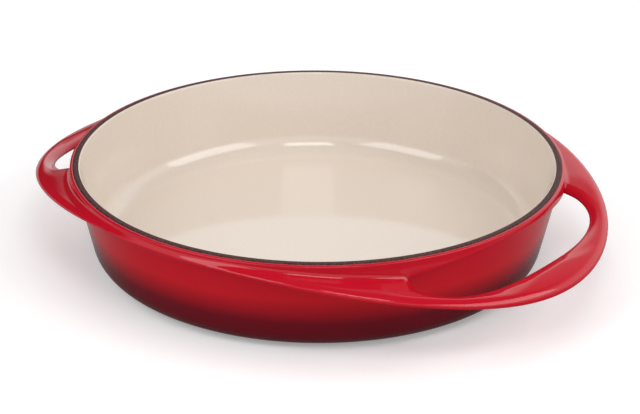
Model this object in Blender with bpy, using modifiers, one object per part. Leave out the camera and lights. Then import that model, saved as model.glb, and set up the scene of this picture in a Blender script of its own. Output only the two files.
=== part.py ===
"""Round shallow tarte tatin dish in enamelled cast iron, with two looped handles.

The casting is one piece: wall, base with a foot ring, a band under the rim and an oval
flange that droops at both ends and is pierced there by a finger opening. Four coats of
enamel are fused to it. Each coat stands a hair's gap off the iron, so that every piece
is a closed solid of its own. X runs along the handles, Z is up, and the foot is at Z = 0.
"""

import math

import bpy
import bmesh

MM = 0.001

# Bowl
RIM_HEIGHT = 54.0 * MM
OPENING_RADIUS = 125.0 * MM
RIM_WIDTH = 4.2 * MM
RIM_ROUNDING = 1.1 * MM
WALL_TAPER = 0.24
FLOOR_THICKNESS = 5.0 * MM
FLOOR_FILLET = 13.0 * MM
BASE_FILLET = 14.0 * MM

# Foot ring and the recess inside it
FOOT_PROUD = 1.0 * MM
FOOT_SET_IN = 1.0 * MM
FOOT_WIDTH = 6.0 * MM
FOOT_CHAMFER = 0.5 * MM
RECESS_DEPTH = 3.5 * MM
RECESS_SLOPE_WIDTH = 3.0 * MM

# Band under the rim
BAND_PROUD = 1.0 * MM
BAND_TOP = 1.9 * MM
BAND_ROUNDING = 0.8 * MM
BAND_AT_GRIP = 4.0 * MM
BAND_BURY = 1.0 * MM

# Flange and handles, measured outwards from the rim
SIDE_FLANGE = 1.6 * MM
FINGER_GAP = 17.0 * MM
BAR_WIDTH = 16.1 * MM
FLANGE_LEVEL = 4.3 * MM
DROOP_START = 35.0 * MM
TIP_DROP = 16.6 * MM
TIP_THICKNESS = 6.6 * MM
SIDE_THICKNESS = 2.4 * MM
EDGE_SHARE = 0.187

# Finger openings, each bounded on its outer side by an oval with its middle inside the rim
OPENING_SET_IN_SHARE = 0.226
OPENING_BEYOND_END = 5.2 * MM
OPENING_SQUARENESS = 2.8
OPENING_END = math.radians(32.5)
OPENING_EDGE_SHARE = 0.137
OPENING_LEAN_SHARE = 0.28
ROOT_DEPTH = 12.0 * MM

# Enamel
COAT = 0.4 * MM
GAP = 0.3 * MM
RIM_COAT_INSIDE = 0.9 * MM
RIM_COAT_OUTSIDE = 1.4 * MM

# Fineness
TURN_STEPS = 64
FILLET_STEPS = 4
ROUNDING_STEPS = 2
EDGE_STEPS = 4
OPENING_STEPS = 10
SIDE_STEPS = 9
END_STEP = math.radians(0.4)
HALVINGS = 30
CRISP_ANGLE = math.radians(35.0)

# Allowances: points this close are one point, and a cutter passes this far beyond the metal
MERGE = 0.01 * MM
CLEAR = 5.0 * MM

# Worked out from the sizes above
BED = COAT + GAP
RIM_RADIUS = OPENING_RADIUS + RIM_WIDTH
BAND_RADIUS = RIM_RADIUS + BAND_PROUD
FLOOR_HEIGHT = FOOT_PROUD + RECESS_DEPTH + FLOOR_THICKNESS
OPENING_REACH = RIM_RADIUS + FINGER_GAP
OPENING_MIDDLE = RIM_RADIUS * (1 - OPENING_SET_IN_SHARE)
OPENING_HALF_LENGTH = RIM_RADIUS * math.sin(OPENING_END) + OPENING_BEYOND_END
OPENING_EDGE = BAR_WIDTH * OPENING_EDGE_SHARE
OPENING_LEAN = BAR_WIDTH * OPENING_LEAN_SHARE
FLANGE_EDGE = BAR_WIDTH * EDGE_SHARE
HANDLE_REACH = OPENING_REACH + BAR_WIDTH
FLANGE_HALF_WIDTH = RIM_RADIUS + SIDE_FLANGE


def tangent_arc(before, corner, after, radius, steps):
    """Points of an arc of this radius that rounds a corner of a profile."""
    one = (before[0] - corner[0], before[1] - corner[1])
    two = (after[0] - corner[0], after[1] - corner[1])
    one_length = math.hypot(*one)
    two_length = math.hypot(*two)
    one = (one[0] / one_length, one[1] / one_length)
    two = (two[0] / two_length, two[1] / two_length)
    half = math.acos(one[0] * two[0] + one[1] * two[1]) / 2
    middle = (one[0] + two[0], one[1] + two[1])
    middle_length = math.hypot(*middle)
    reach = radius / math.sin(half) / middle_length
    centre = (corner[0] + middle[0] * reach, corner[1] + middle[1] * reach)
    tangent = radius / math.tan(half)
    first = (corner[0] + one[0] * tangent - centre[0], corner[1] + one[1] * tangent - centre[1])
    last = (corner[0] + two[0] * tangent - centre[0], corner[1] + two[1] * tangent - centre[1])
    sweep = math.pi - 2 * half
    if first[0] * last[1] - first[1] * last[0] < 0:
        sweep = -sweep
    points = []
    for step in range(steps + 1):
        turn = sweep * step / steps
        x = first[0] * math.cos(turn) - first[1] * math.sin(turn)
        y = first[0] * math.sin(turn) + first[1] * math.cos(turn)
        points.append((centre[0] + x, centre[1] + y))
    return points


def moved_in(points, distance):
    """The profile moved to its right-hand side by this distance, with mitred corners."""
    moved = []
    for index, point in enumerate(points):
        normals = []
        for a, b in ((index - 1, index), (index, index + 1)):
            if a < 0 or b >= len(points):
                continue
            run = (points[b][0] - points[a][0], points[b][1] - points[a][1])
            length = math.hypot(*run)
            normals.append((run[1] / length, -run[0] / length))
        if len(normals) == 1:
            normals = normals * 2
        sum_x = normals[0][0] + normals[1][0]
        sum_y = normals[0][1] + normals[1][1]
        scale = 2 * distance / (sum_x * sum_x + sum_y * sum_y)
        moved.append((point[0] + sum_x * scale, point[1] + sum_y * scale))
    return moved


def wall_radius(height, at_rim):
    """Radius of a wall face at this height, for the radius that it has at the rim."""
    return at_rim - WALL_TAPER * (RIM_HEIGHT - height)


def rim_arcs():
    """The roundings of the rim's inner and outer edge, both in order from the inside outwards."""
    inner_top = (OPENING_RADIUS, RIM_HEIGHT)
    outer_top = (RIM_RADIUS, RIM_HEIGHT)
    inner_low = (wall_radius(FLOOR_HEIGHT, OPENING_RADIUS), FLOOR_HEIGHT)
    outer_low = (wall_radius(FOOT_PROUD, RIM_RADIUS), FOOT_PROUD)
    inside = tangent_arc(inner_low, inner_top, outer_top, RIM_ROUNDING, ROUNDING_STEPS)
    outside = tangent_arc(inner_top, outer_top, outer_low, RIM_ROUNDING, ROUNDING_STEPS)
    return inside, outside


def base_arc():
    """The rounding between the wall and the level of the foot."""
    wall_top = (RIM_RADIUS, RIM_HEIGHT)
    corner = (wall_radius(FOOT_PROUD, RIM_RADIUS), FOOT_PROUD)
    return tangent_arc(wall_top, corner, (0.0, FOOT_PROUD), BASE_FILLET, FILLET_STEPS)


def foot_radius():
    """Outer radius of the foot ring, set in from where the rounded base turns level."""
    return base_arc()[-1][0] - FOOT_SET_IN


def outline(angle, inset):
    """The outside of the bowl in this direction, from the rim down to the level of the foot."""
    top = RIM_HEIGHT - BAND_TOP
    bottom = band_bottom(angle)
    upper = (wall_radius(top, RIM_RADIUS), top)
    lower = (wall_radius(bottom, RIM_RADIUS), bottom)
    upper_edge = (BAND_RADIUS, top)
    lower_edge = (BAND_RADIUS, bottom)
    run = [(RIM_RADIUS - 2 * RIM_ROUNDING, RIM_HEIGHT)] + rim_arcs()[1] + [upper]
    run += tangent_arc(upper, upper_edge, lower_edge, BAND_ROUNDING, ROUNDING_STEPS)
    run += tangent_arc(upper_edge, lower_edge, lower, BAND_ROUNDING, ROUNDING_STEPS)
    run += [lower] + base_arc()
    return moved_in(run, inset)


def recess_profile():
    """The iron's face inside the foot ring, from the middle outwards and down to the foot."""
    inner = foot_radius() - FOOT_WIDTH
    height = FOOT_PROUD + RECESS_DEPTH + BED
    return [(0.0, height), (inner - RECESS_SLOPE_WIDTH, height), (inner, FOOT_CHAMFER)]


def bowl_profile():
    """The inside face of the bowl, from the rim down to the middle of the floor."""
    top = (OPENING_RADIUS, RIM_HEIGHT)
    corner = (wall_radius(FLOOR_HEIGHT, OPENING_RADIUS), FLOOR_HEIGHT)
    fillet = tangent_arc(top, corner, (0.0, FLOOR_HEIGHT), FLOOR_FILLET, FILLET_STEPS)
    return [top] + fillet + [(0.0, FLOOR_HEIGHT)]


def cut_level(points, height):
    """The part of a falling profile that lies below this height, cut square across."""
    kept = [point for point in points if point[1] < height]
    above = [point for point in points if point[1] >= height][-1]
    share = (height - above[1]) / (kept[0][1] - above[1])
    return [(above[0] + share * (kept[0][0] - above[0]), height)] + kept


def flange_top(x):
    """Height of the flange's top face: level across the middle, falling along an arc."""
    beyond = max(0.0, abs(x) - DROOP_START) / (HANDLE_REACH - DROOP_START)
    return RIM_HEIGHT - FLANGE_LEVEL - TIP_DROP * beyond**2


def flange_thickness(x):
    """The flange grows thicker from the sides of the dish to the tips of the handles."""
    return SIDE_THICKNESS + (TIP_THICKNESS - SIDE_THICKNESS) * abs(x) / HANDLE_REACH


def oval_radius(angle, half_length, half_width):
    """Distance from the middle to an oval, in this direction."""
    return 1 / math.hypot(math.cos(angle) / half_length, math.sin(angle) / half_width)


def from_axis(angle):
    """Size of the angle between this direction and the nearer end of the handles' axis."""
    return abs(math.remainder(angle, math.pi))


def in_opening(radius, angle, inset):
    """Whether this place lies within the oval that bounds a finger opening on its outer side."""
    x = max(0.0, abs(radius * math.cos(angle)) - OPENING_MIDDLE)
    y = abs(radius * math.sin(angle))
    across = x / (OPENING_REACH - OPENING_MIDDLE + inset)
    along = y / (OPENING_HALF_LENGTH + inset)
    return across**OPENING_SQUARENESS + along**OPENING_SQUARENESS < 1


def opening_radius(angle, inset):
    """Distance from the middle of the dish to the outer side of a finger opening."""
    low = RIM_RADIUS
    high = HANDLE_REACH
    for _ in range(HALVINGS):
        middle = (low + high) / 2
        if in_opening(middle, angle, inset):
            low = middle
        else:
            high = middle
    return low


def flange_directions(inset):
    """Each section's direction, and whether the opening lies there between flange and wall.

    None of them points straight to the side, where the wall's own sections would meet it.
    """
    end = OPENING_END + inset / RIM_RADIUS
    closed = end + END_STEP
    quarter = [(end * step / OPENING_STEPS, True) for step in range(OPENING_STEPS + 1)]
    quarter.append((closed, False))
    for step in range(SIDE_STEPS):
        quarter.append((closed + (math.pi / 2 - closed) * (step + 0.5) / SIDE_STEPS, False))
    half = quarter + [(math.pi - angle, is_open) for angle, is_open in quarter[:0:-1]]
    return half + [(math.pi + angle, is_open) for angle, is_open in half]


def flange_section(angle, is_open, inset):
    """A closed section of the flange in this direction, from the opening or from inside the wall.

    Both edges are elliptical. The one at an opening leans, so the opening is wider at its top.
    """
    outer = oval_radius(angle, HANDLE_REACH - inset, FLANGE_HALF_WIDTH - inset)
    inner = opening_radius(angle, inset) if is_open else OPENING_RADIUS - ROOT_DEPTH
    edges = (
        (outer - FLANGE_EDGE, FLANGE_EDGE, 0.0, 1),
        (inner + OPENING_EDGE, OPENING_EDGE, OPENING_LEAN / 2, -1),
    )
    section = []
    for centre, length, lean, side in edges:
        for step in range(EDGE_STEPS + 1):
            turn = side * math.pi * (0.5 - step / EDGE_STEPS)
            radius = centre + side * length * math.cos(turn) + lean * math.sin(turn)
            x = radius * math.cos(angle)
            half = flange_thickness(x) / 2
            height = flange_top(x) - half + (half - inset) * math.sin(turn)
            section.append((x, radius * math.sin(angle), height))
    return section


def band_bottom(angle):
    """Height of the band's lower edge: an arch over each opening, buried in the flange elsewhere."""
    turn = from_axis(angle)
    buried = flange_top(BAND_RADIUS * math.cos(max(turn, OPENING_END))) - BAND_BURY
    if turn >= OPENING_END:
        return buried
    grip = RIM_HEIGHT - BAND_AT_GRIP
    return grip + (buried - grip) * (turn / OPENING_END) ** 2


def material(name, colour, roughness, metallic=0.0):
    """A material in one colour, given as red, green and blue in linear light."""
    made = bpy.data.materials.new(name)
    made.use_nodes = True
    shader = made.node_tree.nodes["Principled BSDF"]
    shader.inputs["Base Color"].default_value = (*colour, 1.0)
    shader.inputs["Roughness"].default_value = roughness
    shader.inputs["Metallic"].default_value = metallic
    return made


def turned(name, profile, collection):
    """A solid of revolution about Z, from a profile that runs down its outer side."""
    mesh = bpy.data.meshes.new(name)
    vertices = [(r, 0.0, z) for r, z in profile]
    edges = [(i, i + 1) for i in range(len(profile) - 1)]
    if profile[0][0] > MERGE:
        edges.append((len(profile) - 1, 0))
    mesh.from_pydata(vertices, edges, [])
    item = bpy.data.objects.new(name, mesh)
    collection.objects.link(item)
    screw = item.modifiers.new("turn", "SCREW")
    screw.steps = TURN_STEPS
    screw.render_steps = TURN_STEPS
    screw.use_merge_vertices = True
    screw.merge_threshold = MERGE
    return item


def loft(name, sections, collection, ring):
    """A solid through sections that follow each other round the dish.

    Each section of a ring is a closed loop. Otherwise it is a run from top to bottom,
    and flat faces close the solid above and below. Every quad is split the same way, so
    that a body and its core stay parallel.
    """
    mesh = bmesh.new()
    rows = [[mesh.verts.new(point) for point in section] for section in sections]
    count = len(sections[0])
    for row, following in zip(rows, rows[1:] + rows[:1]):
        for i in range(count if ring else count - 1):
            j = (i + 1) % count
            mesh.faces.new((row[i], row[j], following[j]))
            mesh.faces.new((row[i], following[j], following[i]))
    if not ring:
        mesh.faces.new([row[0] for row in rows])
        mesh.faces.new([row[-1] for row in reversed(rows)])
    bmesh.ops.recalc_face_normals(mesh, faces=mesh.faces)
    data = bpy.data.meshes.new(name)
    mesh.to_mesh(data)
    mesh.free()
    item = bpy.data.objects.new(name, data)
    collection.objects.link(item)
    return item


def combine(item, other, operation):
    """Joins another object to this one, or cuts it out of this one."""
    modifier = item.modifiers.new(other.name, "BOOLEAN")
    modifier.operation = operation
    modifier.solver = "EXACT"
    modifier.object = other


def make_body(name, inset, collection, cutters):
    """The dish as a full solid with its flange, with every face moved in by this much."""
    turns = [2 * math.pi * step / TURN_STEPS for step in range(TURN_STEPS)]
    sections = []
    for angle in turns:
        across = (math.cos(angle), math.sin(angle))
        sections.append([(r * across[0], r * across[1], z) for r, z in outline(angle, inset)])
    body = loft(name, sections, collection, ring=False)
    sections = [flange_section(*direction, inset) for direction in flange_directions(inset)]
    combine(body, loft(name + "_flange", sections, cutters, ring=True), "UNION")
    return body


def make_casting(parts, cutters):
    """The iron: bowl, foot ring, band, flange and handles in one piece."""
    casting = make_body("iron_casting", BED, parts, cutters)
    edge = foot_radius()
    bury = FOOT_PROUD + RECESS_DEPTH
    foot = [(0.0, bury), (edge, bury), (edge, FOOT_CHAMFER), (edge - FOOT_CHAMFER, 0.0), (0.0, 0.0)]
    combine(casting, turned("foot", foot, cutters), "UNION")
    run = recess_profile()
    recess = run + [(run[-1][0], -CLEAR), (0.0, -CLEAR)]
    combine(casting, turned("recess", recess, cutters), "DIFFERENCE")
    hollow = moved_in(bowl_profile(), -BED)
    above = RIM_HEIGHT + CLEAR
    hollow = [(0.0, above), (wall_radius(above, hollow[0][0]), above)] + hollow[1:]
    combine(casting, turned("hollow", hollow, cutters), "DIFFERENCE")
    return casting


def make_exterior(parts, cutters):
    """The coloured coat on the wall, the band, the flange and the handles."""
    coat = make_body("exterior_enamel", 0.0, parts, cutters)
    combine(coat, make_body("coat_core", COAT, cutters, cutters), "DIFFERENCE")
    level = RIM_HEIGHT - RIM_COAT_OUTSIDE - GAP
    reach = HANDLE_REACH + CLEAR
    above = RIM_HEIGHT + CLEAR
    top = [(0.0, above), (reach, above), (reach, level), (0.0, level)]
    combine(coat, turned("trim_above", top, cutters), "DIFFERENCE")
    edge = foot_radius() + GAP
    under = [(0.0, FLOOR_HEIGHT), (edge, FLOOR_HEIGHT), (edge, -CLEAR), (0.0, -CLEAR)]
    combine(coat, turned("trim_below", under, cutters), "DIFFERENCE")
    return coat


def make_interior(parts):
    """The pale coat inside the bowl, up to the dark edge of the rim."""
    level = RIM_HEIGHT - RIM_COAT_INSIDE - GAP
    face = cut_level(bowl_profile(), level)
    back = cut_level(moved_in(bowl_profile(), -COAT), level)
    return turned("interior_enamel", face[::-1] + back, parts)


def make_rim(parts):
    """The dark coat that caps the rim and laps over both of its edges."""
    inside, outside = rim_arcs()
    inner_low = RIM_HEIGHT - RIM_COAT_INSIDE
    outer_low = RIM_HEIGHT - RIM_COAT_OUTSIDE
    face = [(wall_radius(inner_low, OPENING_RADIUS), inner_low)] + inside
    face += outside + [(wall_radius(outer_low, RIM_RADIUS), outer_low)]
    return turned("rim_enamel", face + moved_in(face, COAT)[::-1], parts)


def make_underside(parts):
    """The coat in the recess inside the foot ring."""
    back = moved_in(recess_profile(), GAP)
    face = moved_in(recess_profile(), BED)
    return turned("underside_enamel", back + face[::-1], parts)


def finish(item, surface):
    """Gives a piece its material and smooth shading with crisp edges."""
    item.data.materials.append(surface)
    item.data.shade_smooth()
    item.data.set_sharp_from_angle(angle=CRISP_ANGLE)


def main():
    for item in list(bpy.data.objects):
        bpy.data.objects.remove(item)
    parts = bpy.data.collections.new("tarte_tatin_dish")
    cutters = bpy.data.collections.new("cutters")
    for collection in (parts, cutters):
        bpy.context.scene.collection.children.link(collection)
    cutters.hide_render = True
    iron = material("cast_iron", (0.06, 0.055, 0.05), 0.6, 1.0)
    finish(make_casting(parts, cutters), iron)
    red = material("red_gloss_enamel", (0.50, 0.012, 0.025), 0.12)
    finish(make_exterior(parts, cutters), red)
    finish(make_interior(parts), material("sand_gloss_enamel", (0.76, 0.67, 0.56), 0.15))
    finish(make_rim(parts), material("matt_dark_enamel", (0.05, 0.03, 0.03), 0.55))
    wine = material("wine_gloss_enamel", (0.16, 0.010, 0.016), 0.18)
    finish(make_underside(parts), wine)
    for item in cutters.objects:
        item.hide_render = True
        item.display_type = "WIRE"


main()
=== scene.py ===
# %% [markdown]
# # A tarte tatin dish in enamelled cast iron
#
# The real dish is one casting with vitreous enamel fused to it: sand-coloured inside, red
# outside, and a matt dark band round the rim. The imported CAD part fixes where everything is.
# This lesson draws the same shapes more finely over it, gives them their finishes, and
# lights them as in a plain product photograph.
#
# All sizes below are in millimetres and are turned into metres only when a mesh is made.
# X runs along the handles, Z is up, and the dish stands on Z = 0.

import math

import bpy
import numpy as np
from mathutils import Matrix, Vector


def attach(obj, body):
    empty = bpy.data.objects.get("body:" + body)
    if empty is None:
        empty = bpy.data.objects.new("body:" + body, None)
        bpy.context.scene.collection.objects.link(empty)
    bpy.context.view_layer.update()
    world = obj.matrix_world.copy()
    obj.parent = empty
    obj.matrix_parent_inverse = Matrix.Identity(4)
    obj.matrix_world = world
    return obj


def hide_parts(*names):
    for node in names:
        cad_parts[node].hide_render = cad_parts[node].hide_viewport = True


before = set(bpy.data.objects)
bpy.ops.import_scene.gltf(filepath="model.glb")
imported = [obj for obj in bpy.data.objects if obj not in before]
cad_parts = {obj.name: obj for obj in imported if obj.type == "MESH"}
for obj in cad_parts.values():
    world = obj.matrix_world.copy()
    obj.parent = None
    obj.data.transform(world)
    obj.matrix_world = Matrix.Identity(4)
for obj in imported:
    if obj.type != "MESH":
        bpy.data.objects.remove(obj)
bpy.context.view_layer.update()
bpy.context.scene.view_settings.view_transform = "Standard"
MM = 0.001

# %% [markdown]
# ## Sizes of the casting
#
# These are the sizes that the CAD part has. The outer wall is a cone: it grows wider by
# 0.24 mm for each millimetre of height, which lets the casting leave its mould. The wall
# could be given a radius at its top and one at its foot instead. One radius and a taper say
# the same, and they also give the radius at every height between.

# %% Sizes
RIM_HEIGHT = 54.0
OPENING_RADIUS = 125.0
RIM_RADIUS = 129.2
RIM_ROUNDING = 1.1
TAPER = 0.24
SLOPE = math.degrees(math.atan(TAPER))
FLOOR_HEIGHT = 9.5
FLOOR_FILLET = 13.0
BASE_FILLET = 14.0
FOOT_PROUD = 1.0
FOOT_WIDTH = 6.0
RECESS_DEPTH = 3.5
BAND_RADIUS = 130.2
BAND_TOP = RIM_HEIGHT - 0.6
HANDLE_REACH = 162.3
FLANGE_HALF_WIDTH = 130.8
COAT = 0.4


def wall_radius(height, at_rim):
    """Radius of a wall face: its radius at the rim less the taper times the drop from there."""
    return at_rim - TAPER * (RIM_HEIGHT - height)


print("inner width:", 2 * OPENING_RADIUS, "mm; the walls lean by", round(SLOPE, 1), "degrees")

# %% [markdown]
# ## From numbers to meshes
#
# Every new piece is worked out as whole arrays of points. They could be fed to Blender one
# vertex at a time through bmesh, but a single foreach_set is far faster for a hundred
# thousand points. One helper turns the arrays into a mesh, and one makes a piece of it. If
# the faces of a piece look inward, its volume comes out negative, and they are turned over.

# %% Pieces from arrays
CUBIC_CM = 1000.0


def volume_inside(points, quads, triangles):
    """The volume that closed faces hold: the sum of a . (b x c) / 6 over triangles a, b, c.

    It is positive where the faces look outward.
    """
    halves = np.vstack([quads[:, :3], quads[:, [0, 2, 3]], triangles])
    a, b, c = points[halves].transpose(1, 0, 2)
    return np.einsum("ij,ij->", a, np.cross(b, c)) / 6


def mesh_from(name, points, quads, triangles):
    """A smooth mesh from points in mm. Its faces' corners are listed in one row, quads first."""
    corners = np.concatenate([quads.ravel(), triangles.ravel()])
    starts = np.concatenate([
        np.arange(len(quads)) * 4,
        len(quads) * 4 + np.arange(len(triangles)) * 3,
    ])
    mesh = bpy.data.meshes.new(name)
    mesh.vertices.add(len(points))
    mesh.vertices.foreach_set("co", (np.asarray(points, np.float32) * MM).ravel())
    mesh.loops.add(len(corners))
    mesh.loops.foreach_set("vertex_index", corners)
    mesh.polygons.add(len(starts))
    mesh.polygons.foreach_set("loop_start", starts.astype(np.int32))
    mesh.update(calc_edges=True)
    mesh.validate()
    mesh.shade_smooth()
    return mesh


def make_piece(name, points, quads, triangles=(), node=None, material=None):
    """A piece with its finish, tied to the frame's one body, with its faces looking outward."""
    quads = np.asarray(quads, np.int32).reshape(-1, 4)
    triangles = np.asarray(triangles, np.int32).reshape(-1, 3)
    volume = volume_inside(np.asarray(points, float), quads, triangles)
    if volume < 0:
        quads, triangles = quads[:, ::-1], triangles[:, ::-1]
    piece = bpy.data.objects.new(name, mesh_from(name, points, quads, triangles))
    bpy.context.scene.collection.objects.link(piece)
    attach(piece, "root")
    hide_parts(node)
    piece.data.materials.append(material)
    count = 2 * len(quads) + len(triangles)
    print(name, count, "triangles,", round(abs(volume) / CUBIC_CM, 1), "cubic cm")
    return piece


# %% [markdown]
# ## Turned shapes
#
# The bowl, the rim and the foot of the dish are round, so each is a profile carried once
# round the upright axis. A Screw modifier on a drawn profile would do the same. Working out
# the rings directly needs no modifier, and the same profiles can later close surfaces that
# are not round.

# %% Turned shapes
def ring_quads(rows):
    """Quads between rings of point numbers, one ring to a row. Each ring closes on itself."""
    a, b = rows[:-1], rows[1:]
    return np.stack([a, b, np.roll(b, -1, 1), np.roll(a, -1, 1)], -1).reshape(-1, 4)


def rings_of(profile, turn):
    """Points of a profile of (radius, height) at each turn t: (radius cos t, radius sin t, height)."""
    return np.stack([
        profile[:, :1] * np.cos(turn),
        profile[:, :1] * np.sin(turn),
        np.repeat(profile[:, 1:], len(turn), 1),
    ], -1).reshape(-1, 3)


def carried_round(profile, turns):
    """A profile of (radius, height) carried round the upright axis in equal turns.

    A profile that starts and ends on the axis gets two poles, each closed by a fan of
    triangles. Any other closes on itself.
    """
    poles = profile[0, 0] == 0
    body = profile[1:-1] if poles else profile
    points = rings_of(body, 2 * math.pi * np.arange(turns) / turns)
    rows = np.arange(len(body) * turns).reshape(len(body), turns)
    if not poles:
        return points, ring_quads(np.vstack([rows, rows[:1]])), []
    first, last = len(points), len(points) + 1
    points = np.vstack([points, [[0, 0, profile[0, 1]], [0, 0, profile[-1, 1]]]])
    start, end = rows[0], rows[-1]
    fans = [np.stack([np.full(turns, first), start, np.roll(start, -1)], 1),
            np.stack([np.full(turns, last), np.roll(end, -1), end], 1)]
    return points, ring_quads(rows), np.vstack(fans)


def arc(centre, radius, start, stop, steps):
    """An arc of a profile: the centre plus the radius times (cos, sin) of angles in degrees."""
    turn = np.radians(np.linspace(start, stop, steps + 1))
    return np.stack([centre[0] + radius * np.cos(turn), centre[1] + radius * np.sin(turn)], 1)


def straight(start, stop, steps):
    """A straight run of a profile in equal steps from start to stop, without its last point."""
    return np.linspace(start, stop, steps, endpoint=False)


def corner_arc(at_rim, level, radius, steps, inset=0.0):
    """The arc that rounds the corner between a flared wall and a level face.

    Its centre stands a radius above the level face. It is as far inside the wall's foot as
    the radius over the tangent of half the angle between the two faces.
    """
    half = math.radians(90 + SLOPE) / 2
    edge = wall_radius(level, at_rim)
    centre = (edge - radius / math.tan(half), level + radius)
    return arc(centre, radius + inset, -90, -SLOPE, steps)


# %% [markdown]
# ## Node helpers
#
# Colours are written as the sRGB hex values that a paint card would give. Blender's shaders
# work in linear light, so one function converts them. Another adds a node, sets its values
# and links its inputs. The same could be done by hand in the Shader Editor, but written down
# it gives the same material each time.

# %% Node helpers
def linear(colour):
    """The linear RGBA of an sRGB hex colour: a straight line near black, a power of 2.4 above."""
    srgb = np.array([int(colour[i:i + 2], 16) for i in (0, 2, 4)]) / 255
    light = np.where(srgb <= 0.04045, srgb / 12.92, ((srgb + 0.055) / 1.055) ** 2.4)
    return (*light.tolist(), 1.0)


def grey(value):
    """The linear RGBA of a grey of this brightness."""
    return (value, value, value, 1.0)


def add_node(tree, kind, settings=None, inputs=None):
    """Adds a node. An input that is a socket is linked, and any other is set as a value."""
    node = tree.nodes.new(kind)
    for name, value in (settings or {}).items():
        setattr(node, name, value)
    for name, value in (inputs or {}).items():
        if isinstance(value, bpy.types.NodeSocket):
            tree.links.new(value, node.inputs[name])
        else:
            node.inputs[name].default_value = value
    return node


def new_material(name):
    """An empty node material with its output node."""
    material = bpy.data.materials.new(name)
    material.use_nodes = True
    tree = material.node_tree
    tree.nodes.clear()
    return material, tree, add_node(tree, "ShaderNodeOutputMaterial")


def set_ramp(node, stops):
    """Puts (position, colour) stops into a colour ramp."""
    ramp = node.color_ramp
    while len(ramp.elements) > 1:
        ramp.elements.remove(ramp.elements[-1])
    for index, (position, colour) in enumerate(stops):
        element = ramp.elements[0] if index == 0 else ramp.elements.new(position)
        element.position = position
        element.color = colour


# %% [markdown]
# ## Camera
#
# A camera could be moved by hand until the outlines agree. Here it was solved from the two
# ellipses of the rim instead, which fixes its tilt and its distance together: it looks down
# by 24 degrees along a direction 128.2 degrees round from the handles' axis, from about
# 1.6 m away, through a long lens. A slight roll makes the dish lean as in the photograph.

# %% Camera
IMAGE_WIDTH = 640
FOCAL_PIXELS = 3000.0
SENSOR = 36.0
HEADING = math.radians(128.2)
# How far it looks down and how far it is rolled, in radians.
PITCH = 0.4225
ROLL = 0.0063
# The camera's place from the middle of the rim: to the right, ahead and up. A last fit to
# the outline then moved it back by the factor below.
FROM_RIM = (1.523, -1448.894, 624.302)
BACK_OFF = 1.0016
AHEAD = Vector((math.cos(HEADING), math.sin(HEADING), 0))
RIGHT = Vector((math.sin(HEADING), -math.cos(HEADING), 0))


def from_view(right, ahead, up):
    """A place given as seen by the camera: so far to the right, ahead along the floor, and up."""
    return RIGHT * right + AHEAD * ahead + Vector((0, 0, up))


def make_camera():
    """Places the camera by its right, up and forward directions, turned by the roll."""
    forward = AHEAD * math.cos(PITCH) - Vector((0, 0, math.sin(PITCH)))
    up = RIGHT.cross(forward)
    rolled_right = RIGHT * math.cos(ROLL) + up * math.sin(ROLL)
    rolled_up = up * math.cos(ROLL) - RIGHT * math.sin(ROLL)
    turn = Matrix((rolled_right, rolled_up, -forward)).transposed().to_4x4()
    place = Vector((0, 0, RIM_HEIGHT)) + from_view(*FROM_RIM) * BACK_OFF
    data = bpy.data.cameras.new("camera")
    data.sensor_width = SENSOR
    data.lens = SENSOR * FOCAL_PIXELS / IMAGE_WIDTH
    camera = bpy.data.objects.new("camera", data)
    camera.matrix_world = Matrix.Translation(place * MM) @ turn
    bpy.context.scene.collection.objects.link(camera)
    bpy.context.scene.camera = camera
    print("camera at", [round(v, 4) for v in camera.matrix_world.translation])


make_camera()

# %% [markdown]
# ## The room
#
# Glossy enamel shows what stands round it, so the room matters as much as the lamps. The
# flat tops of the handles mirror a pale room up to about 30 degrees above the horizon. The
# room grows dark from there to 50 degrees, and it is dark on the left beyond the dish too.
# It could be built from white and black cards. As a world it needs only a few nodes: one
# background for mirror images, an even one for matt surfaces, and white for the camera.

# %% World
EVEN_LIGHT = 0.5
# Brightness in mirror images against the sine of the height above the horizon.
ROOM = [(0.0, 1.0), (0.48, 1.0), (0.64, 0.3), (0.76, 0.05)]
# The left is dark up to the first of these sines of the angle to the right, and lit from
# the second on.
LEFT_EDGE = (-0.18, -0.06)
LEFT_STRENGTH = 0.02
LIT_STRENGTH = 1.1
# The side behind the camera has one strength, which gives way over this range of the sine
# of the angle ahead.
BEHIND_STRENGTH = 0.85
BEHIND_EDGE = (-0.1, 0.1)


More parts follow.
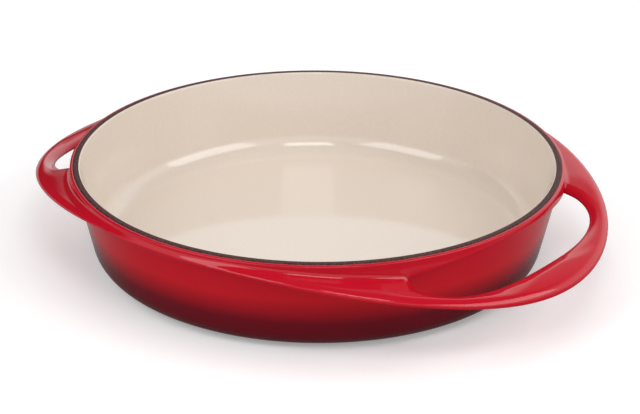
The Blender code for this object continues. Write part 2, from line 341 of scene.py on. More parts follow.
def make_world():
    """White to the camera, even to matt surfaces, and a pale room under a dark ceiling to gloss."""
    world = bpy.data.worlds.new("studio")
    bpy.context.scene.world = world
    world.use_nodes = True
    tree = world.node_tree
    tree.nodes.clear()
    place = add_node(tree, "ShaderNodeTexCoord")
    split = add_node(tree, "ShaderNodeSeparateXYZ", inputs={"Vector": place.outputs["Generated"]})
    ramp = add_node(tree, "ShaderNodeValToRGB", inputs={"Fac": split.outputs["Z"]})
    set_ramp(ramp, [(height, grey(brightness)) for height, brightness in ROOM])
    side = add_node(tree, "ShaderNodeVectorMath", {"operation": "DOT_PRODUCT"}, {
        0: place.outputs["Generated"], 1: tuple(RIGHT)})
    dim = add_node(tree, "ShaderNodeMapRange", {"interpolation_type": "SMOOTHSTEP"}, {
        "Value": side.outputs["Value"], "From Min": LEFT_EDGE[0], "From Max": LEFT_EDGE[1],
        "To Min": LEFT_STRENGTH, "To Max": LIT_STRENGTH})
    ahead = add_node(tree, "ShaderNodeVectorMath", {"operation": "DOT_PRODUCT"}, {
        0: place.outputs["Generated"], 1: tuple(AHEAD)})
    strength = add_node(tree, "ShaderNodeMapRange", inputs={
        "Value": ahead.outputs["Value"], "From Min": BEHIND_EDGE[0], "From Max": BEHIND_EDGE[1],
        "To Min": BEHIND_STRENGTH, "To Max": dim.outputs["Result"]})
    mirrored = add_node(tree, "ShaderNodeBackground", inputs={
        "Color": ramp.outputs["Color"], "Strength": strength.outputs["Result"]})
    even = add_node(tree, "ShaderNodeBackground", inputs={"Color": grey(EVEN_LIGHT)})
    white = add_node(tree, "ShaderNodeBackground", inputs={"Color": grey(1.0)})
    path = add_node(tree, "ShaderNodeLightPath")
    to_gloss = add_node(tree, "ShaderNodeMixShader", inputs={
        0: path.outputs["Is Glossy Ray"], 1: even.outputs[0], 2: mirrored.outputs[0]})
    seen = add_node(tree, "ShaderNodeMath", {"operation": "MAXIMUM"}, {
        0: path.outputs["Is Camera Ray"], 1: path.outputs["Is Transmission Ray"]})
    to_camera = add_node(tree, "ShaderNodeMixShader", inputs={
        0: seen.outputs[0], 1: to_gloss.outputs[0], 2: white.outputs[0]})
    add_node(tree, "ShaderNodeOutputWorld", inputs={"Surface": to_camera.outputs[0]})
    print("world:", len(tree.nodes), "nodes")


make_world()

# %% [markdown]
# ## Floor
#
# The dish stands on matt white paper: it takes soft shadows and mirrors nothing. In the
# photograph the paper is pure white away from the shadows. Brighter lamps would make the
# dish too bright, so the paper has a little light of its own for the camera instead. In
# mirror images it is dark in front of the dish, and grows pale behind it and beside it.

# %% White paper
FLOOR_HALF = 6000.0
PAPER_WHITE = 0.85
PAPER_GLOW = 0.26
# The paper in mirror images is dark under the dish's middle and pale from 0.26 m behind it.
# A metre to either side counts as a share of a metre behind.
MIRRORED_DARK = 0.1
MIRRORED_PALE = 0.5
PALE_FROM = 0.26
SIDEWAYS_SHARE = 0.8


# Matt white paper: an even white that takes soft shadows and shows no mirror image.
def paper():
    """White paper, mirrored paler with the metres behind plus a share of those beside."""
    material, tree, output = new_material("white_paper")
    place = add_node(tree, "ShaderNodeTexCoord")
    behind = add_node(tree, "ShaderNodeVectorMath", {"operation": "DOT_PRODUCT"}, {
        0: place.outputs["Object"], 1: tuple(AHEAD)})
    beside = add_node(tree, "ShaderNodeVectorMath", {"operation": "DOT_PRODUCT"}, {
        0: place.outputs["Object"], 1: tuple(RIGHT)})
    away = add_node(tree, "ShaderNodeMath", {"operation": "ABSOLUTE"}, {0: beside.outputs["Value"]})
    reach = add_node(tree, "ShaderNodeMath", {"operation": "MULTIPLY_ADD"}, {
        0: away.outputs[0], 1: SIDEWAYS_SHARE, 2: behind.outputs["Value"]})
    strength = add_node(tree, "ShaderNodeMapRange", {"interpolation_type": "SMOOTHSTEP"}, {
        "Value": reach.outputs[0], "From Min": 0.0, "From Max": PALE_FROM,
        "To Min": MIRRORED_DARK, "To Max": MIRRORED_PALE})
    matt = add_node(tree, "ShaderNodeBsdfDiffuse", inputs={"Color": grey(PAPER_WHITE)})
    glow = add_node(tree, "ShaderNodeEmission", inputs={"Strength": PAPER_GLOW})
    lit = add_node(tree, "ShaderNodeAddShader", inputs={0: matt.outputs[0], 1: glow.outputs[0]})
    mirrored = add_node(tree, "ShaderNodeEmission", inputs={"Strength": strength.outputs["Result"]})
    path = add_node(tree, "ShaderNodeLightPath")
    to_camera = add_node(tree, "ShaderNodeMixShader", inputs={
        0: path.outputs["Is Camera Ray"], 1: matt.outputs[0], 2: lit.outputs[0]})
    to_gloss = add_node(tree, "ShaderNodeMixShader", inputs={
        0: path.outputs["Is Glossy Ray"], 1: to_camera.outputs[0], 2: mirrored.outputs[0]})
    tree.links.new(to_gloss.outputs[0], output.inputs["Surface"])
    return material


def make_floor():
    """One wide square, at the height that the dish stands on."""
    corners = [(-1, -1, 0), (1, -1, 0), (1, 1, 0), (-1, 1, 0)]
    mesh = bpy.data.meshes.new("floor")
    mesh.from_pydata((np.array(corners) * FLOOR_HALF * MM).tolist(), [], [[0, 1, 2, 3]])
    floor = bpy.data.objects.new("floor", mesh)
    bpy.context.scene.collection.objects.link(floor)
    mesh.materials.append(paper())
    print("floor:", round(2 * FLOOR_HALF * MM), "m wide")


make_floor()

# %% [markdown]
# ## Lamps
#
# The highlights inside the bowl say where the photograph's lamps were: one above the camera
# and a long one at each side. Their mirror images are the bright streaks round the bowl's
# corner. A fourth, wide lamp overhead softens the shadows. The enamel in the photograph
# shows no such lamp, so it is kept out of mirror images.

# %% Softboxes
def make_lamp(name, place, width, height, watts, mirrored=True):
    """A softbox at this place (right, ahead and up, in metres) and of this size, turned to the dish."""
    data = bpy.data.lights.new(name, "AREA")
    data.shape = "RECTANGLE"
    data.size = width
    data.size_y = height
    data.energy = watts
    lamp = bpy.data.objects.new(name, data)
    lamp.location = from_view(*place)
    lamp.rotation_mode = "QUATERNION"
    lamp.rotation_quaternion = (-lamp.location).to_track_quat("-Z", "Y")
    lamp.visible_glossy = mirrored
    bpy.context.scene.collection.objects.link(lamp)
    print(name, [round(v, 2) for v in lamp.location], watts, "W")


make_lamp("front_softbox", (0.11, -0.95, 1.32), width=0.58, height=0.5, watts=3.4)
make_lamp("right_softbox", (1.15, -0.50, 0.82), width=1.3, height=0.8, watts=8)
make_lamp("left_softbox", (-1.02, -0.75, 0.98), width=1.1, height=0.8, watts=6.5)
make_lamp("ceiling", (0, 0.1, 1.7), width=1.4, height=1.4, watts=4.2, mirrored=False)

# %% [markdown]
# ## Red enamel
#
# Vitreous enamel is glass: a powder sprayed on the iron and melted at about 800 degrees. It
# has the gloss and the index of glass, and very slight waves where it flowed. The red is
# deepest near the foot, where the spray is laid on thinner over a dark ground. A gradient
# on the height alone would darken the drooping handles too, so the shade is a value that is
# stored with each point of the piece.

# %% Red enamel
GLASS_IOR = 1.5
RED_SHADES = [(0.0, "5A0A14"), (0.4, "680A1A"), (0.75, "C01824"), (1.0, "BE1226")]


def wavy(tree, place, wavelength, height):
    """A bump of soft waves: noise at one over the wavelength, times the height, both in mm."""
    noise = add_node(tree, "ShaderNodeTexNoise", inputs={
        "Vector": place, "Scale": 1 / (wavelength * MM), "Detail": 1.0})
    return add_node(tree, "ShaderNodeBump", inputs={
        "Height": noise.outputs["Fac"], "Strength": 1.0, "Distance": height * MM})


def red_enamel():
    """Glossy red. Its colour follows the piece's shade, from 0 near the foot to 1 on the flange."""
    material, tree, output = new_material("red_vitreous_enamel")
    shade = add_node(tree, "ShaderNodeAttribute", {"attribute_name": "shade"})
    ramp = add_node(tree, "ShaderNodeValToRGB", inputs={"Fac": shade.outputs["Fac"]})
    set_ramp(ramp, [(position, linear(colour)) for position, colour in RED_SHADES])
    place = add_node(tree, "ShaderNodeTexCoord")
    bump = wavy(tree, place.outputs["Object"], wavelength=9.0, height=0.006)
    shader = add_node(tree, "ShaderNodeBsdfPrincipled", inputs={
        "Base Color": ramp.outputs["Color"], "Roughness": 0.07, "IOR": GLASS_IOR,
        "Normal": bump.outputs["Normal"]})
    tree.links.new(shader.outputs[0], output.inputs["Surface"])
    return material


# Red vitreous enamel, sprayed and fired: sharp mirror images over a deep, clear red.
RED = red_enamel()

# %% [markdown]
# ## Plain enamels and iron
#
# The other finishes have one colour each. They could share one material with a mask for
# each region, but every piece is separate here, so each gets its own from one function. It
# adds a mottle of darker spots, since neither fired glass nor iron is one flat colour. The
# spots are faint in the gloss coats and strong in the rim's grain.

# %% Plain enamels and iron
MOTTLE_SIZE = 1.2
MOTTLE_RANGE = (0.3, 0.7)


def plain_finish(name, colour, roughness, wavelength, height, mottle=0.96, ior=1.52):
    """One colour, times the mottle in its darkest spots, over waves of this size in mm."""
    material, tree, output = new_material(name)
    place = add_node(tree, "ShaderNodeTexCoord")
    noise = add_node(tree, "ShaderNodeTexNoise", inputs={
        "Vector": place.outputs["Object"], "Scale": 1 / (MOTTLE_SIZE * MM), "Detail": 2.0})
    ramp = add_node(tree, "ShaderNodeValToRGB", inputs={"Fac": noise.outputs["Fac"]})
    base = np.array(linear(colour))
    spots = base * grey(mottle)
    set_ramp(ramp, [(MOTTLE_RANGE[0], spots.tolist()), (MOTTLE_RANGE[1], base.tolist())])
    bump = wavy(tree, place.outputs["Object"], wavelength, height)
    shader = add_node(tree, "ShaderNodeBsdfPrincipled", inputs={
        "Base Color": ramp.outputs["Color"], "Roughness": roughness, "IOR": ior,
        "Normal": bump.outputs["Normal"]})
    tree.links.new(shader.outputs[0], output.inputs["Surface"])
    return material


# Sand vitreous enamel, a thick coat that flowed before it set: long soft waves draw the
# lamps out into streaks. Its index is above that of glass, to match how bright they are.
SAND = plain_finish("sand_vitreous_enamel", "E2D4C6", roughness=0.08, wavelength=15.0,
                    height=0.02, ior=1.7)
# Matt ground enamel, the first coat, fired without a gloss coat over it: a dark, dull grain
# like fine sandpaper. The real grain is finer. It is drawn 0.7 mm long so that it shows,
# and the low index keeps it dull where it is seen at a flat angle.
DARK = plain_finish("matt_ground_enamel", "684240", roughness=0.5, wavelength=0.7,
                    height=0.08, mottle=0.12, ior=1.25)
# Wine-red vitreous enamel, sprayed on the underside: nearly the red coat's gloss, but dark.
WINE = plain_finish("wine_vitreous_enamel", "5E0C14", roughness=0.1, wavelength=9.0,
                    height=0.01)
# Bare cast iron, ground flat at the foot: grains of dark grey that scatter the light, so it
# is drawn dull, without the mirror images of a polished metal.
IRON = plain_finish("bare_cast_iron", "3A3836", roughness=0.6, wavelength=0.6,
                    height=0.05, mottle=0.8)
print("finishes:", [finish.name for finish in (RED, SAND, DARK, WINE, IRON)])

# %% [markdown]
# ## Inside of the bowl
#
# The bowl is a turned shape: a straight flared wall, a rounded corner and a flat floor. The
# sand enamel climbs round the inner edge of the rim, where it shows as a thin pale line. It
# could be a sheet with a Solidify modifier. One closed profile, the face that is seen and a
# back 0.4 mm behind it, gives the same coat and lets its two ends be placed exactly.

# %% Interior coat
# Centres of the arcs that round the rim's inner and outer edge.
INNER_EDGE = (OPENING_RADIUS + RIM_ROUNDING / math.tan(math.radians(90 + SLOPE) / 2),
              RIM_HEIGHT - RIM_ROUNDING)
OUTER_EDGE = (RIM_RADIUS - RIM_ROUNDING / math.tan(math.radians(90 - SLOPE) / 2),
              RIM_HEIGHT - RIM_ROUNDING)
# Where the sand enamel ends on the inner arc, in degrees.
SAND_END = 107


def interior_profile(inset):
    """From the middle of the floor, round the corner, up the wall and round the rim's inner edge.

    An inset moves every part of it that far into the iron.
    """
    bend = corner_arc(OPENING_RADIUS, FLOOR_HEIGHT, FLOOR_FILLET, steps=24, inset=inset)
    edge = arc(INNER_EDGE, RIM_ROUNDING - inset, 180 - SLOPE, SAND_END, steps=8)
    return np.vstack([
        straight((0, FLOOR_HEIGHT - inset), bend[0], steps=14),
        bend,
        straight(bend[-1], edge[0], steps=12)[1:],
        edge,
    ])


points, quads, fans = carried_round(
    np.vstack([interior_profile(0.0), interior_profile(COAT)[::-1]]), turns=512)
make_piece("interior_coat", points, quads, fans, "interior_enamel", SAND)

# %% [markdown]
# ## Rim
#
# The rim is left in the matt ground enamel: a dark ring about 3 mm wide between the sand and
# the red, slightly rough to the touch. It could be a stripe of colour on a gloss coat, but
# its grain and its dull look are its own, so it is a ring of its own. Both gloss coats
# overlap its edges, so there its profile is sunk by a twentieth of a millimetre, which
# hides it under them.

# %% Rim coat
# Where the red enamel takes over on the outer arc, and how far the dark coat runs on under
# the others, both in degrees.
RED_END = 50
TUCKED_UNDER = 30
SUNK_UNDER = 0.05


def rim_profile(sunk, inset):
    """Over the rim from its inner to its outer edge, lower by sunk where another coat covers it."""
    radius = RIM_ROUNDING - inset
    hidden_inside = arc(INNER_EDGE, radius - sunk, SAND_END + TUCKED_UNDER, SAND_END + 1, steps=4)
    inside = arc(INNER_EDGE, radius, SAND_END, 90, steps=4)
    outside = arc(OUTER_EDGE, radius, 90, RED_END, steps=5)
    hidden_outside = arc(OUTER_EDGE, radius - sunk, RED_END - 1, RED_END - TUCKED_UNDER, steps=4)
    across = straight(inside[-1], outside[0], steps=6)[1:]
    return np.vstack([hidden_inside, inside, across, outside, hidden_outside])


points, quads, fans = carried_round(
    np.vstack([rim_profile(0.0, COAT), rim_profile(SUNK_UNDER, 0.0)[::-1]]), turns=720)
make_piece("rim_coat", points, quads, fans, "rim_enamel", DARK)

# %% [markdown]
# ## Outside of the casting
#
# Band, wall, flange and handles melt into one another: the flange grows out of the wall
# with a fillet above and below, and both openings end in corners against it. No single
# sheet of two parameters has that shape, and booleans with bevelled edges can't make a
# fillet whose radius changes along its way. So it is written as one function of space that
# is negative in the metal and positive in the air, and the piece is drawn where the function
# is zero. Each form has its own distance, and two forms are joined by a rounded union,
# which is what gives the fillets their radius.

# %% Joining two forms
TINY = 1e-9


def smooth_step(value, low, high):
    """0 below low, 1 above high. In between a share s of the way gives s squared times (3 - 2 s)."""
    share = np.clip((value - low) / (high - low), 0, 1)
    return share * share * (3 - 2 * share)


def rounded_union(a, b, radius):
    """The smaller of two distances, with a hollow fillet of this radius where the forms meet.

    Near both forms it is the radius less the hypotenuse of how far each is within it.
    """
    inner = np.hypot(np.maximum(radius - a, 0), np.maximum(radius - b, 0))
    return np.maximum(radius, np.minimum(a, b)) - inner


def rounded_overlap(a, b, radius):
    """The larger of two distances, for what is inside both forms, with its edge rounded.

    Near the edge it is the hypotenuse of how far each reaches past the depth of the radius,
    less that radius.
    """
    outer = np.hypot(np.maximum(radius + a, 0), np.maximum(radius + b, 0))
    return np.minimum(-radius, np.maximum(a, b)) + outer


# %% [markdown]
# ## The flange's heights
#
# The flange is level beside the bowl, droops along the handles and grows thicker towards
# their tips, where a hand takes hold. In section a handle is no plain bar either. Its top
# has a ridge, which lies near the inner edge at the tip and moves towards the outer edge
# along each arm. Inside the ridge the top dips towards the opening, and that hollow runs out
# in the flange beyond the opening's end. Outside it a low crown falls to the edge. These
# heights could be sculpted. As functions of place they stay smooth at any fineness of grid.

# %% Heights of the flange
LEVEL_REACH = 35.0
FLANGE_DROP = 4.3
TIP_DROOP = 16.6
# Thickness, and over which distances along X it grows.
SIDE_THICKNESS = 2.4
ARM_GAIN = 1.9
ARM_RANGE = (20.0, 90.0)
TIP_GAIN = 2.3
TIP_START = 120.0
# The ridge's distance from the outer edge, and over which angles it changes. Pairs that
# fade or move are in degrees from the handles' axis.
RIDGE_AT_ARM = 2.6
RIDGE_AT_TIP = 10.6
RIDGE_MOVES = (2.0, 14.0)
HOLLOW = 0.7
HOLLOW_WIDTH = 6.0
HOLLOW_FADES = (31.0, 40.0)
CROWN = 0.7
CROWN_WIDTH = 9.0
CROWN_FADES = (36.0, 58.0)


def flange_top(x):
    """Height of the ridge: level for 35 mm each way, then falling with the square of the rest."""
    beyond = np.maximum(0.0, np.abs(x) - LEVEL_REACH) / (HANDLE_REACH - LEVEL_REACH)
    return RIM_HEIGHT - FLANGE_DROP - TIP_DROOP * beyond ** 2


def flange_thickness(x):
    """The side's thickness, plus a soft step along the arms, plus a square's growth at the tips."""
    size = np.abs(x)
    tip = np.maximum(0.0, size - TIP_START) / (HANDLE_REACH - TIP_START)
    return SIDE_THICKNESS + ARM_GAIN * smooth_step(size, *ARM_RANGE) + TIP_GAIN * tip ** 2


def top_drop(x, y, set_in):
    """How far the top lies under its ridge, from its distance inside the flange's outer edge.

    Inside the ridge it falls by the hollow in a soft step. Outside it the crown falls with
    the square of the distance. Both fade out over a range of degrees from the handles' axis.
    """
    angle = np.degrees(np.arctan2(np.abs(y), np.abs(x)))
    ridge = RIDGE_AT_TIP + (RIDGE_AT_ARM - RIDGE_AT_TIP) * smooth_step(angle, *RIDGE_MOVES)
    hollow = smooth_step(set_in, ridge, ridge + HOLLOW_WIDTH)
    crown = np.clip(1 - set_in / CROWN_WIDTH, 0, 1) ** 2
    return (HOLLOW * (hollow * (1 - smooth_step(angle, *HOLLOW_FADES)))
            + CROWN * (crown * (1 - smooth_step(angle, *CROWN_FADES))))


print("handle tip:", round(float(flange_top(HANDLE_REACH)), 1), "mm high and",
      round(float(flange_thickness(HANDLE_REACH)), 1), "mm thick")

# %% [markdown]
# ## Wall and band
#
# Just under the rim the casting has a raised band, a millimetre proud. It runs into the
# flange at the sides, and over each finger opening its lower edge is an arch. Band and wall
# are plain forms: a cone, and a ring between two heights, joined by a small fillet.

# %% Distance to the wall
# About where a finger opening ends, as an angle from the handles' axis.
FINGER_END = math.radians(32.5)
BAND_ROUNDING = 0.6
BAND_FILLET = 0.4
BAND_BURIED = 1.0
ARCH_DROP = 4.0


def band_bottom(angle):
    """Height of the band's lower edge: a parabola over each opening, inside the flange elsewhere."""
    buried = flange_top(BAND_RADIUS * np.cos(np.maximum(angle, FINGER_END))) - BAND_BURIED
    crest = RIM_HEIGHT - ARCH_DROP
    arch = crest + (buried - crest) * np.minimum(angle / FINGER_END, 1) ** 2
    return np.where(angle < FINGER_END, arch, buried)


def wall_distance(x, y, z):
    """Distance to the cone of the wall, round at its top, joined with the band under the rim.

    The cone's is the radius less the wall's radius, over the length of its slope.
    """
    radius = np.hypot(x, y)
    angle = np.arctan2(np.abs(y), np.abs(x))
    cone = (radius - wall_radius(z, RIM_RADIUS)) / math.hypot(1, TAPER)
    cone = rounded_overlap(cone, z - RIM_HEIGHT, RIM_ROUNDING)
    side = rounded_overlap(radius - BAND_RADIUS, z - BAND_TOP, BAND_ROUNDING)
    band = rounded_overlap(side, band_bottom(angle) - z, BAND_ROUNDING)
    return rounded_union(cone, band, BAND_FILLET)


# %% [markdown]
# ## Outlines of the flange and its openings
#
# Seen from above, the flange is an ellipse. Each finger opening is cut by the bar's inner
# edge, which is part of a squared oval, and by two straight ends that lie almost along
# radii of the bowl. A curve object could hold these outlines. As distances they can lean
# and be rounded when they meet the flange's top and bottom.

# %% Distances in plan
FINGER_MIDDLE = 100.0
FINGER_ACROSS = 44.4
FINGER_ALONG = 73.8
SQUARENESS = 2.8
# An opening's end is a line through two places: their angles from the handles' axis, which
# differ a little between the dish's near side, where Y is negative, and its far side, and
# their distances from the middle.
NEAR_END = (31.0, 32.2)
FAR_END = (34.3, 31.5)
END_PLACES = (130.0, 142.0)


def oval_distance(x, y, half_length, half_width):
    """About the distance outside an ellipse: how far it is overrun, over the slope of that measure."""
    level = np.hypot(x / half_length, y / half_width)
    slope = np.hypot(x / half_length ** 2, y / half_width ** 2)
    return level * (level - 1) / np.maximum(slope, TINY)


def finger_oval(x, y):
    """About the distance outside an opening's squared oval, by the same rule.

    Its measure is the root of the sum of both shares raised to the power of the squareness.
    """
    across = np.maximum(0.0, np.abs(x) - FINGER_MIDDLE) / FINGER_ACROSS
    along = np.abs(y) / FINGER_ALONG
    level = (across ** SQUARENESS + along ** SQUARENESS) ** (1 / SQUARENESS)
    rise = SQUARENESS - 1
    slope = np.hypot(across ** rise / FINGER_ACROSS, along ** rise / FINGER_ALONG)
    return (level - 1) / np.maximum(slope / np.maximum(level, TINY) ** rise, TINY)


def past_line(x, y, end):
    """Distance past the line through two places, from the cross product with its direction."""
    first, second = np.radians(end)
    start = END_PLACES[0] * np.array([math.cos(first), math.sin(first)])
    along = END_PLACES[1] * np.array([math.cos(second), math.sin(second)]) - start
    along /= np.hypot(*along)
    return (np.abs(y) - start[1]) * along[0] - (np.abs(x) - start[0]) * along[1]


def beyond_end(x, y):
    """Distance past the line that ends an opening, positive in the flange."""
    return np.where(y < 0, past_line(x, y, NEAR_END), past_line(x, y, FAR_END))


# %% [markdown]
# ## The whole outside
#
# The flange is a curved plate. A bevel would round its edges to a circle, but the real
# handles have edges that are wider than they are deep, so each is drawn as an ellipse. At
# the openings the edges also lean, which makes an opening wider at its top. The fillet
# between flange and wall shrinks inside the openings, where they meet in a mere corner.

# %% Distance to the outside
FINGER_LEAN = 4.0
FLANGE_EDGE = 3.2
BAR_EDGE = 4.0
END_EDGE = 1.5
CORNER_POWER = 3
FLANGE_FILLET = 3.0
FINGER_FILLET = 0.7
FILLET_SHRINKS = (-0.3, 1.5)


def flange_distance(x, y, z):
    """Distance to the flange: how far its measure is past 1, over the measure's slope.

    Each edge has a measure that is 0 inside the plate and grows to 1 at the edge, and so has
    the height above or below the plate's middle. The surface is where their squares add up
    to 1. An opening is where both its oval and its end line leave the plate, so the smaller
    of their two measures counts, with a soft corner between them.
    """
    set_in = -oval_distance(x, y, HANDLE_REACH, FLANGE_HALF_WIDTH)
    drop = top_drop(x, y, set_in)
    half = (flange_thickness(x) - drop) / 2
    level = (z - flange_top(x) + drop + half) / half
    lean = FINGER_LEAN / 2 * np.clip(level, -1, 1)
    outer = np.maximum(0, 1 - set_in / FLANGE_EDGE)
    bar = np.maximum(0, 1 - (finger_oval(x, y) - lean) / BAR_EDGE)
    end = np.maximum(0, 1 - (beyond_end(x, y) - lean) / END_EDGE)
    inner = bar * end / (bar ** CORNER_POWER + end ** CORNER_POWER + TINY) ** (1 / CORNER_POWER)
    to_bar = (inner / np.maximum(bar, TINY)) ** (CORNER_POWER + 1) * inner / BAR_EDGE
    to_end = (inner / np.maximum(end, TINY)) ** (CORNER_POWER + 1) * inner / END_EDGE
    size = np.sqrt(outer ** 2 + inner ** 2 + level ** 2)
    slope = np.sqrt((outer / FLANGE_EDGE) ** 2 + to_bar ** 2 + to_end ** 2 + (level / half) ** 2)
    return (size - 1) * (size + TINY) / (slope + TINY)


def outside_distance(x, y, z):
    """Distance to the whole outside: wall and flange in a union with a fillet between them."""
    radius = FINGER_FILLET + (FLANGE_FILLET - FINGER_FILLET) * smooth_step(
        beyond_end(x, y), *FILLET_SHRINKS)
    return rounded_union(wall_distance(x, y, z), flange_distance(x, y, z), radius)


# %% [markdown]
# ## Drawing the surface of a distance
#
# The function is sampled on a grid of turns, radii and heights. Blender's own way would be a
# Volume to Mesh node on an even grid. A round grid follows the rim, and it can be fine round
# the flange and coarse on the plain wall below. Each cell of the grid that the surface
# passes through gets one point, and each grid edge that it crosses gets one face between
# the four cells round that edge. The points are then slid until the function is zero.

# %% Points on the surface
LEAST_SLOPE_SQUARED = 0.2
LONGEST_SLIDE = 1.0


def slope_of(distance, points, step=0.01):
    """The direction in which the distance grows fastest, by differences over a small step."""
    x, y, z = points.T
    grown = [distance(x + step, y, z) - distance(x - step, y, z),
             distance(x, y + step, z) - distance(x, y - step, z),
             distance(x, y, z + step) - distance(x, y, z - step)]
    return np.stack(grown, 1) / (2 * step)


def slid_on(distance, points, rounds=8):
    """Points moved against the slope by the distance over the slope's square, a few times."""
    for _ in range(rounds):
        slope = slope_of(distance, points)
        value = np.clip(distance(*points.T), -LONGEST_SLIDE, LONGEST_SLIDE)
        size = np.maximum((slope ** 2).sum(1), LEAST_SLOPE_SQUARED)
        points = points - (value / size)[:, None] * slope
    print("farthest point off the surface, mm:", float(np.abs(distance(*points.T)).max().round(5)))
    return points


def crossed_cells(inside):
    """The cells with corners both in the metal and in the air, and each one's number, else -1."""
    radii, heights = inside.shape[1] - 1, inside.shape[2] - 1
    counts = sum(
        part[:, i:radii + i, k:heights + k].astype(np.int8)
        for part in (inside, np.roll(inside, -1, 0)) for i in (0, 1) for k in (0, 1))
    crossed = (counts > 0) & (counts < 8)
    number = np.full(crossed.shape, -1)
    number[crossed] = np.arange(crossed.sum())
    return np.nonzero(crossed), number


def middle_of_crossings(value, cells):
    """For each cell, the mean place where its edges are crossed, in shares of the cell.

    Between values a and b at an edge's two ends, the crossing is the share a / (a - b) of
    the way along.
    """
    corners = [(i, j, k) for i in (0, 1) for j in (0, 1) for k in (0, 1)]
    turn, radius, height = cells
    at = {(i, j, k): value[(turn + i) % len(value), radius + j, height + k]
          for i, j, k in corners}
    total = np.zeros((len(turn), 3))
    crossings = np.zeros(len(turn))
    for start in corners:
        for axis in range(3):
            if start[axis]:
                continue
            stop = tuple(v + (n == axis) for n, v in enumerate(start))
            crossed = (at[start] < 0) != (at[stop] < 0)
            gap = np.where(crossed, at[start] - at[stop], 1)
            place = np.tile(np.array(start, float), (len(gap), 1))
            place[:, axis] += np.where(crossed, at[start] / gap, 0)
            total += place * crossed[:, None]
            crossings += crossed
    return total / crossings[:, None]


def points_in_cells(value, cells, angles, radii, heights):
    """The cells' middle crossings as points in space, from shares of each cell's widths."""
    place = middle_of_crossings(value, cells)
    widths = np.diff(np.append(angles, angles[0] + 2 * math.pi)), np.diff(radii), np.diff(heights)
    turn, radius, height = [
        low[cell] + share * width[cell]
        for low, cell, share, width in zip((angles, radii, heights), cells, place.T, widths)]
    return np.stack([radius * np.cos(turn), radius * np.sin(turn), height], 1)


# %% [markdown]
# A face stands across each crossed grid edge. The edges run in three directions. For each,
# the list below gives the grid points at the edges' far ends and at their near ends, and
# the four cells round an edge. An edge that leaves the metal has its face in that order,
# and one that enters the metal has it turned over.

# %% Faces of the surface
def faces_between(inside, number):
    """A quad for each grid edge with one end in the metal, turned over where it enters it."""
    turns = len(inside)
    whole, middle, first = slice(None), slice(1, -1), slice(0, -1)
    directions = [
        (np.roll(inside, -1, 0), (whole, whole), (whole, middle, middle),
         [(0, 0, 0), (0, 1, 0), (0, 1, 1), (0, 0, 1)]),
        (inside[:, 1:], (whole, first), (whole, whole, middle),
         [(-1, 0, 0), (-1, 0, 1), (0, 0, 1), (0, 0, 0)]),
        (inside[:, :, 1:], (whole, whole, first), (whole, middle, whole),
         [(-1, 0, 0), (0, 0, 0), (0, 1, 0), (-1, 1, 0)]),
    ]
    faces = []
    for ahead, behind, view, round_edge in directions:
        here, there = inside[behind][view], ahead[view]
        i, j, k = np.nonzero(here != there)
        quad = np.stack([number[(i + di) % turns, j + dj, k + dk] for di, dj, dk in round_edge], 1)
        faces.append(np.where(here[i, j, k][:, None], quad, quad[:, ::-1]))
    return np.vstack(faces)


def surface_of(distance, angles, radii, heights):
    """Points and quads of the surface where the distance is zero, on a round grid.

    It also gives the rings of points at the grid's lowest and highest level.
    """
    a, r, z = np.meshgrid(angles, radii, heights, indexing="ij")
    value = distance(r * np.cos(a), r * np.sin(a), z)
    inside = value < 0
    cells, number = crossed_cells(inside)
    points = slid_on(distance, points_in_cells(value, cells, angles, radii, heights))
    low, top = [np.nonzero(inside[0, :, level])[0][-1] for level in (0, -1)]
    return points, faces_between(inside, number), (number[:, low, 0], number[:, top, -1])


def turn_steps(fine, coarse):
    """Angles once round: so many steps in each 45 degrees by the handles' axis, and so many beside."""
    quarter = np.radians(np.concatenate([
        np.linspace(0, 45, fine, endpoint=False), np.linspace(45, 90, coarse, endpoint=False)]))
    half = np.concatenate([quarter, [math.pi / 2], math.pi - quarter[:0:-1]])
    return np.concatenate([half, math.pi + half])


# %% [markdown]
# ## Exterior coat
#
# Below the grid the outside is again a turned shape: the wall runs into a rounded base, and
# the enamel rounds over it towards the foot ring. Rings of that profile start from the
# lowest ring of the grid, and rings of the coat's back start from its highest, which is
# tucked under the rim's dark coat. The grid could reach down to the foot instead, but it
# would need many more cells there for a shape that one profile says. The back is plain: it
# follows the wall, so the coat fills the flange, and the iron is drawn inside it later.

# %% Closing with rings
def close_with_rings(points, quads, rings, below, above):
    """Carries two profiles round, from the lowest and the highest ring, and joins their ends.

    Profiles that end on the axis are closed by a fan of triangles each instead.
    """
    poles = below[-1, 0] == 0
    rows = []
    for ring, profile in zip(rings, (below, above)):
        body = profile[:-1] if poles else profile
        first = len(points)
        turn = np.arctan2(points[ring, 1], points[ring, 0])
        points = np.vstack([points, rings_of(body, turn)])
        rows.append(np.vstack([ring, np.arange(first, len(points)).reshape(len(body), -1)]))
    down, up = rows[1], rows[0][::-1]
    if not poles:
        return points, np.vstack([quads, ring_quads(np.vstack([down, up]))]), []
    count = len(points)
    points = np.vstack([points, [[0, 0, above[-1, 1]], [0, 0, below[-1, 1]]]])
    fans = [
        np.stack([down[-1], np.full(down.shape[1], count), np.roll(down[-1], -1)], 1),
        np.stack([np.full(up.shape[1], count + 1), up[0], np.roll(up[0], -1)], 1),
    ]
    return points, np.vstack([quads, ring_quads(down), ring_quads(up)]), np.vstack(fans)


# %% [markdown]
# The grid's steps in height are 2 mm on the plain wall, 0.85 mm round the flange, and finer
# still round the band and the rim. Its lowest level is a little above the rounded base.

# %% Exterior coat
LOWEST = 14.0
WALL_TOP = 24.0
WALL_STEP = 2.0
FLANGE_STEP = 0.85
BAND_START = 51.0
BAND_LEVELS = 7
TOP_EDGE = RIM_HEIGHT - 0.27
INSIDE_WALL = 3.3
PAST_HANDLES = 1.5
RADIUS_STEP = 0.8
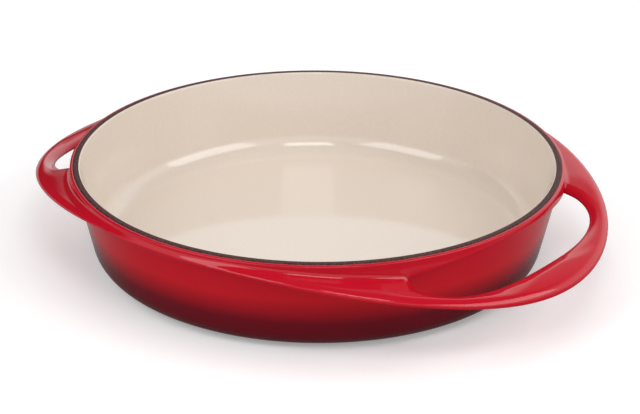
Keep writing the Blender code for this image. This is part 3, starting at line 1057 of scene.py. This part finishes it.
# The coat's back starts a millimetre under the rim and reaches the wall's line at 45 mm.
TOP_TUCK = 1.0
BACK_TOP = 45.0
FOOT_EDGE = corner_arc(RIM_RADIUS, FOOT_PROUD, BASE_FILLET, steps=1)[0, 0]
# How the enamel rounds over towards the foot: so far inside the base's edge, and so high.
FOOT_LIP = [(0.4, FOOT_PROUD - 0.1), (0.5, 0.35), (0.85, 0.25), (0.9, FOOT_PROUD + COAT)]

angles = turn_steps(fine=130, coarse=56)
radii = np.arange(
    wall_radius(LOWEST, RIM_RADIUS) - INSIDE_WALL, HANDLE_REACH + PAST_HANDLES, RADIUS_STEP)
heights = np.concatenate([
    np.arange(LOWEST, WALL_TOP, WALL_STEP),
    np.arange(WALL_TOP, BAND_START, FLANGE_STEP),
    np.linspace(BAND_START, TOP_EDGE, BAND_LEVELS),
])
points, quads, rings = surface_of(outside_distance, angles, radii, heights)
below = np.vstack([
    corner_arc(RIM_RADIUS, FOOT_PROUD, BASE_FILLET, steps=18)[::-1],
    [(FOOT_EDGE - set_in, height) for set_in, height in FOOT_LIP],
    corner_arc(RIM_RADIUS, FOOT_PROUD, BASE_FILLET, steps=8, inset=-COAT),
])
above = np.array([
    (OUTER_EDGE[0], RIM_HEIGHT - TOP_TUCK),
    (wall_radius(BACK_TOP, RIM_RADIUS) - COAT, BACK_TOP),
])
points, quads, fans = close_with_rings(points, quads, rings, below, above)
exterior = make_piece(
    "exterior_coat", points, quads, fans, "exterior_enamel", RED)

# %% [markdown]
# The shade of the red is stored with the points. It rises with the height on the wall, and
# it is 1 wherever a point stands well off the wall, which is on the flange and the handles.

# %% Shade of the red
SHADE_HEIGHTS = (-10.0, 52.0)
OFF_THE_WALL = (0.5, 4.0)

x, y, z = points.T
off_wall = np.hypot(x, y) - wall_radius(z, RIM_RADIUS)
shade = np.maximum(smooth_step(z, *SHADE_HEIGHTS), smooth_step(off_wall, *OFF_THE_WALL))
attribute = exterior.data.attributes.new("shade", "FLOAT", "POINT")
attribute.data.foreach_set("value", shade.astype(np.float32))
print("shade of the red: from", round(float(shade.min()), 2), "to", round(float(shade.max()), 2))

# %% [markdown]
# ## Under the dish
#
# Inside the foot ring the base is a shallow recess with its own coat, drawn like the inside
# of the bowl: one closed profile carried round. The photograph does not show it, so it
# follows what dishes of this kind have.

# %% Underside coat
FOOT_SET_IN = 1.0
FOOT_OUTER = FOOT_EDGE - FOOT_SET_IN
FOOT_INNER = FOOT_OUTER - FOOT_WIDTH
RECESS_ROOF = FOOT_PROUD + RECESS_DEPTH
RECESS_RUN = 3.0
RECESS_GAP = 0.3
RECESS_FOOT = 0.5


def recess_profile(inset):
    """From the middle of the recess outwards, then down its slope towards the foot ring."""
    edge = FOOT_INNER - RECESS_GAP
    return np.array([
        (0.0, RECESS_ROOF + inset), (edge - RECESS_RUN, RECESS_ROOF + inset),
        (edge, RECESS_FOOT + inset)])


points, quads, fans = carried_round(
    np.vstack([recess_profile(COAT), recess_profile(0.0)[::-1]]), turns=360)
make_piece("underside_coat", points, quads, fans, "underside_enamel", WINE)

# %% [markdown]
# ## The casting itself
#
# Under its coats the dish is one piece of grey iron, and only the ground foot ring shows
# bare. It could be the exterior piece shrunk a little, but shrinking moves a handle as well
# as thinning it. Instead the same distance is drawn half a millimetre further in, on a
# coarser grid, and closed by the profiles of the foot and of the bowl.

# %% Iron casting
# How far the iron lies under the red and under the sand, just more than a coat's thickness.
SUNK = 0.5
UNDER_SAND = 0.45
IRON_TOP = RIM_HEIGHT - 0.9
IRON_LEVELS = 28
IRON_INSIDE_WALL = 5.0
IRON_STEP = 1.1
# Where its top edge starts on the rim's outer arc, in degrees.
IRON_EDGE = 60
FOOT_BEVEL = 0.5
RECESS_LIP = 1.2


def casting_distance(x, y, z):
    """Distance to the iron itself: the outside's distance plus how far the iron lies under it."""
    return outside_distance(x, y, z) + SUNK


def foot_profile():
    """From the rounded base down to the foot ring, across it and up into the recess."""
    base = corner_arc(RIM_RADIUS, FOOT_PROUD, BASE_FILLET, steps=10, inset=-SUNK)[::-1]
    roof = RECESS_ROOF + SUNK
    return np.vstack([base, [
        (FOOT_OUTER, FOOT_PROUD + SUNK), (FOOT_OUTER, FOOT_BEVEL), (FOOT_OUTER - FOOT_BEVEL, 0.0),
        (FOOT_INNER + FOOT_BEVEL, 0.0), (FOOT_INNER, FOOT_BEVEL),
        (FOOT_INNER - RECESS_GAP, RECESS_LIP), (FOOT_INNER - RECESS_RUN - COAT, roof),
        (FOOT_INNER / 2, roof), (0.0, roof)]])


angles = turn_steps(fine=90, coarse=36)
radii = np.arange(
    wall_radius(LOWEST, RIM_RADIUS) - IRON_INSIDE_WALL, HANDLE_REACH + PAST_HANDLES, IRON_STEP)
heights = np.concatenate([
    np.arange(LOWEST, WALL_TOP, WALL_STEP), np.linspace(WALL_TOP, IRON_TOP, IRON_LEVELS)])
points, quads, rings = surface_of(casting_distance, angles, radii, heights)
edge = arc(OUTER_EDGE, RIM_ROUNDING - SUNK, IRON_EDGE, 90, steps=2)
above = np.vstack([edge, interior_profile(UNDER_SAND)[::-1]])
points, quads, fans = close_with_rings(points, quads, rings, foot_profile(), above)
make_piece("casting", points, quads, fans, "iron_casting", IRON)
